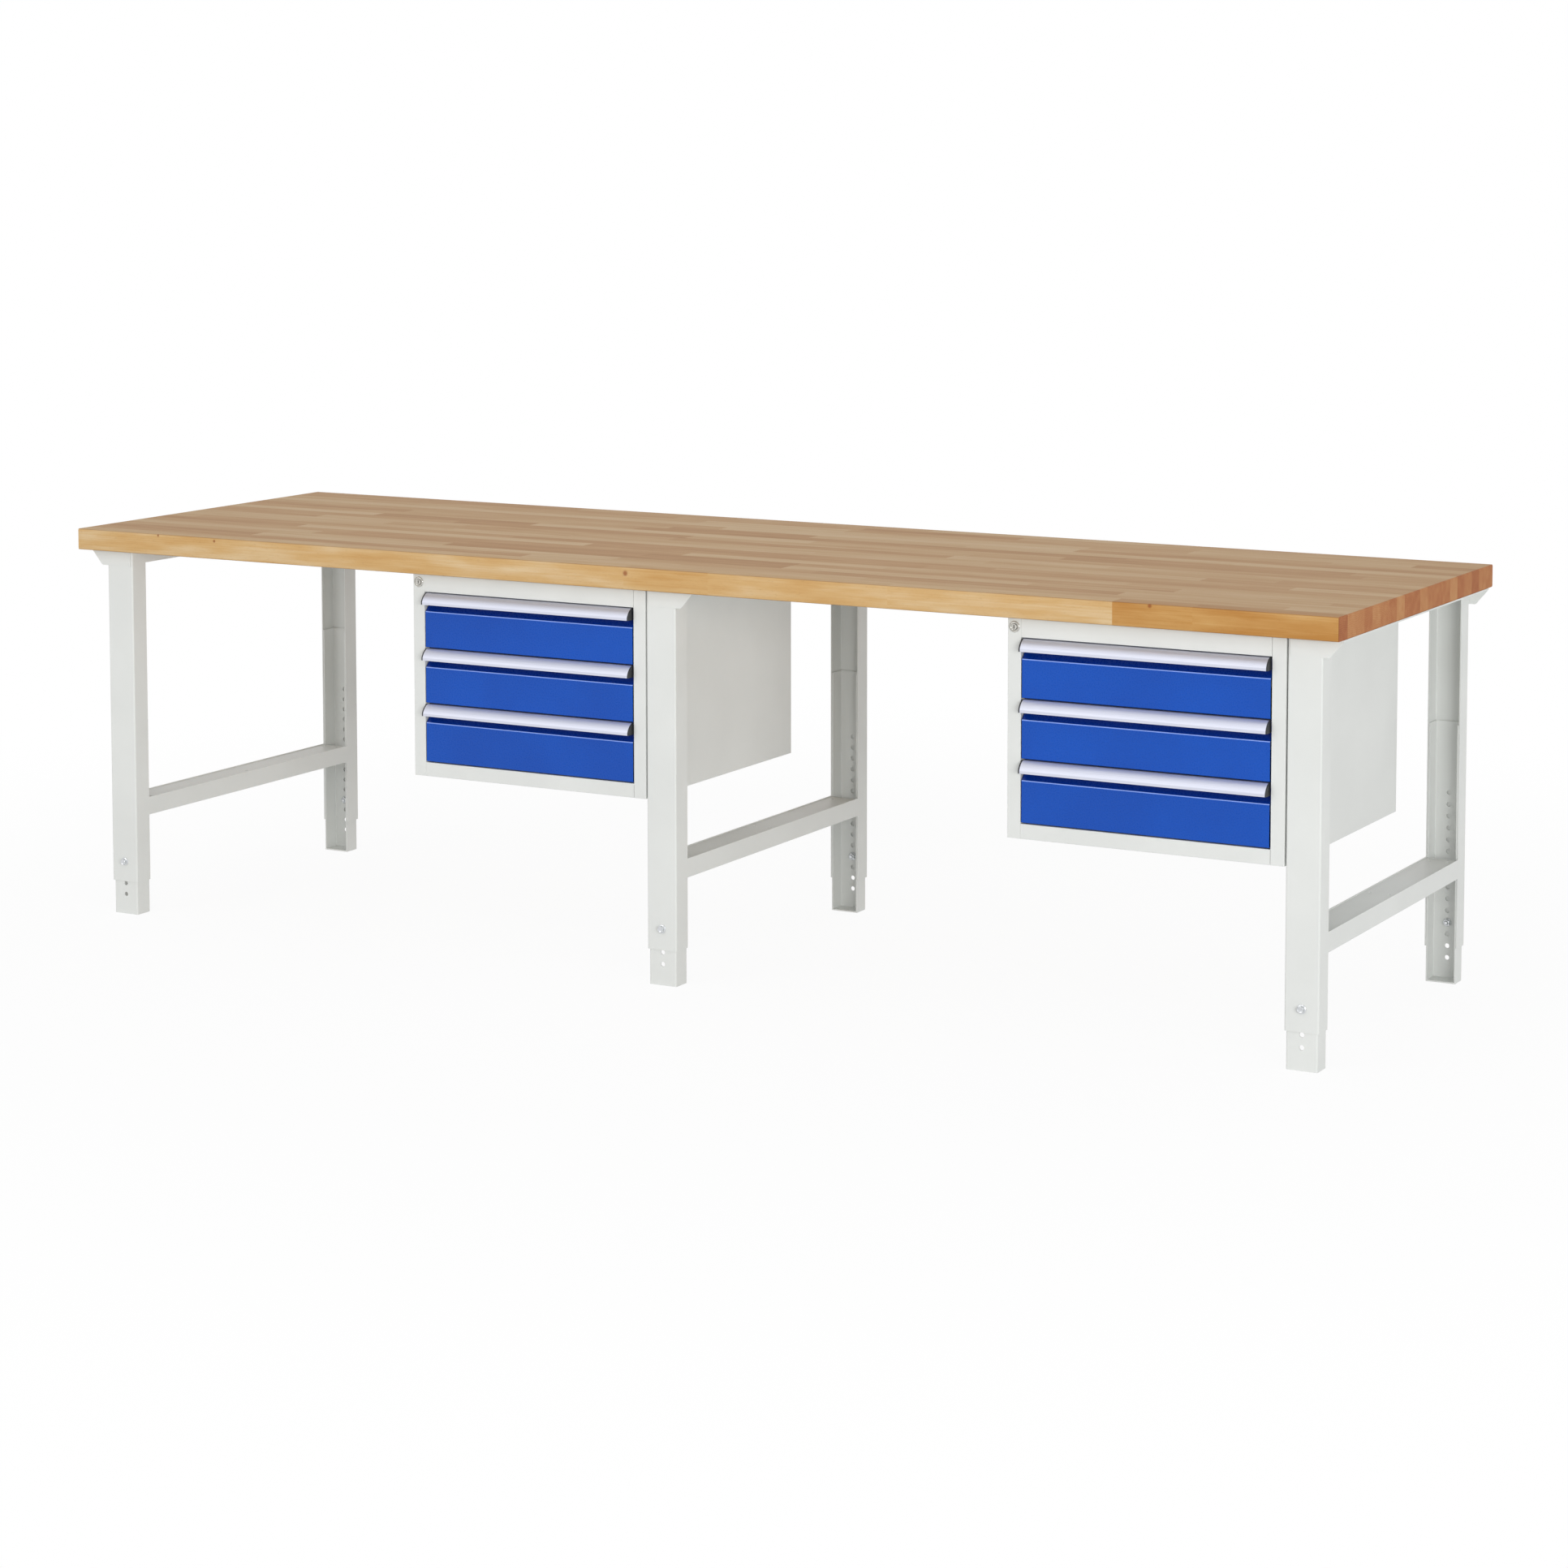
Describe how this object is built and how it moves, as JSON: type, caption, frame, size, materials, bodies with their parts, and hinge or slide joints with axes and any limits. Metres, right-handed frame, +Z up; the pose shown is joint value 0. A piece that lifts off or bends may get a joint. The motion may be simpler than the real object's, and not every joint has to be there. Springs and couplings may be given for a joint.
{
  "type": "height-adjustable workbench",
  "caption": "Long workbench with a beech top on telescoping sheet-steel leg frames, with hung cabinets of lockable roller drawers under it.",
  "frame": {"origin": "on the floor under the middle of the worktop", "axes": "+X along the worktop to the right as seen from the drawers' side, +Y to the back, +Z up"},
  "size_m": [3, 0.9, 0.875],
  "materials": {
    "beech": "oiled",
    "grey_enamel": "satin",
    "blue_enamel": "satin",
    "anodised_aluminium": "satin",
    "black_plastic": "matte",
    "zinc_plated_steel": "satin",
    "chrome": "polished"
  },
  "bodies": {
    "feet": {"left_front_inner_leg": "grey_enamel", "left_rear_inner_leg": "grey_enamel", "middle_front_inner_leg": "grey_enamel", "middle_rear_inner_leg": "grey_enamel", "right_front_inner_leg": "grey_enamel", "right_rear_inner_leg": "grey_enamel"},
    "bench": {"worktop": "beech", "left_front_outer_leg": "grey_enamel", "left_rear_outer_leg": "grey_enamel", "left_stretcher": "grey_enamel", "left_top_rail": "grey_enamel", "middle_front_outer_leg": "grey_enamel", "middle_rear_outer_leg": "grey_enamel", "middle_stretcher": "grey_enamel", "middle_top_rail": "grey_enamel", "right_front_outer_leg": "grey_enamel", "right_rear_outer_leg": "grey_enamel", "right_stretcher": "grey_enamel", "right_top_rail": "grey_enamel", "leg_bolts": "zinc_plated_steel", "leg_nuts": "zinc_plated_steel", "worktop_screws": "zinc_plated_steel", "cabinet_screws": "zinc_plated_steel", "left_cabinet_housing": "grey_enamel", "left_cabinet_front_frame": "grey_enamel", "right_cabinet_housing": "grey_enamel", "right_cabinet_front_frame": "grey_enamel", "lock_bodies": "chrome", "runner_posts": "grey_enamel", "drawer_runners": "zinc_plated_steel", "runner_rollers": "black_plastic"},
    "left_top_drawer": {"left_top_drawer_box": "grey_enamel", "left_top_drawer_front": "blue_enamel", "left_top_drawer_handle": "anodised_aluminium", "left_top_drawer_handle_caps": "black_plastic"},
    "left_middle_drawer": {"left_middle_drawer_box": "grey_enamel", "left_middle_drawer_front": "blue_enamel", "left_middle_drawer_handle": "anodised_aluminium", "left_middle_drawer_handle_caps": "black_plastic"},
    "left_bottom_drawer": {"left_bottom_drawer_box": "grey_enamel", "left_bottom_drawer_front": "blue_enamel", "left_bottom_drawer_handle": "anodised_aluminium", "left_bottom_drawer_handle_caps": "black_plastic"},
    "left_lock": {"left_lock_plug": "chrome"},
    "left_bar": {"left_locking_bar": "zinc_plated_steel"},
    "right_top_drawer": {"right_top_drawer_box": "grey_enamel", "right_top_drawer_front": "blue_enamel", "right_top_drawer_handle": "anodised_aluminium", "right_top_drawer_handle_caps": "black_plastic"},
    "right_middle_drawer": {"right_middle_drawer_box": "grey_enamel", "right_middle_drawer_front": "blue_enamel", "right_middle_drawer_handle": "anodised_aluminium", "right_middle_drawer_handle_caps": "black_plastic"},
    "right_bottom_drawer": {"right_bottom_drawer_box": "grey_enamel", "right_bottom_drawer_front": "blue_enamel", "right_bottom_drawer_handle": "anodised_aluminium", "right_bottom_drawer_handle_caps": "black_plastic"},
    "right_lock": {"right_lock_plug": "chrome"},
    "right_bar": {"right_locking_bar": "zinc_plated_steel"}
  },
  "joints": [
    {"name": "height_adjust", "type": "slide", "parent": "feet", "child": "bench", "axis": [0, 0, 1], "range_m": [-0.05, 0.25]},
    {"name": "left_top_drawer_slide", "type": "slide", "parent": "bench", "child": "left_top_drawer", "axis": [0, -1, 0], "range_m": [0, 0.48]},
    {"name": "left_middle_drawer_slide", "type": "slide", "parent": "bench", "child": "left_middle_drawer", "axis": [0, -1, 0], "range_m": [0, 0.48]},
    {"name": "left_bottom_drawer_slide", "type": "slide", "parent": "bench", "child": "left_bottom_drawer", "axis": [0, -1, 0], "range_m": [0, 0.48]},
    {"name": "left_lock_turn", "type": "hinge", "parent": "bench", "child": "left_lock", "pos_m": [-0.58975, -0.423, 0.80775], "axis": [0, -1, 0], "range_deg": [0, 90.5]},
    {"name": "left_bar_lift", "type": "slide", "parent": "bench", "child": "left_bar", "axis": [0, 0, 1], "range_m": [0, 0.01697]},
    {"name": "right_top_drawer_slide", "type": "slide", "parent": "bench", "child": "right_top_drawer", "axis": [0, -1, 0], "range_m": [0, 0.48]},
    {"name": "right_middle_drawer_slide", "type": "slide", "parent": "bench", "child": "right_middle_drawer", "axis": [0, -1, 0], "range_m": [0, 0.48]},
    {"name": "right_bottom_drawer_slide", "type": "slide", "parent": "bench", "child": "right_bottom_drawer", "axis": [0, -1, 0], "range_m": [0, 0.48]},
    {"name": "right_lock_turn", "type": "hinge", "parent": "bench", "child": "right_lock", "pos_m": [0.82025, -0.423, 0.80775], "axis": [0, -1, 0], "range_deg": [0, 90.5]},
    {"name": "right_bar_lift", "type": "slide", "parent": "bench", "child": "right_bar", "axis": [0, 0, 1], "range_m": [0, 0.01697]}
  ],
  "couplings": [
    {"joint": "left_lock_turn", "follows": "left_bar_lift", "rad_per_m": 92.56},
    {"joint": "right_lock_turn", "follows": "right_bar_lift", "rad_per_m": 92.56}
  ]
}
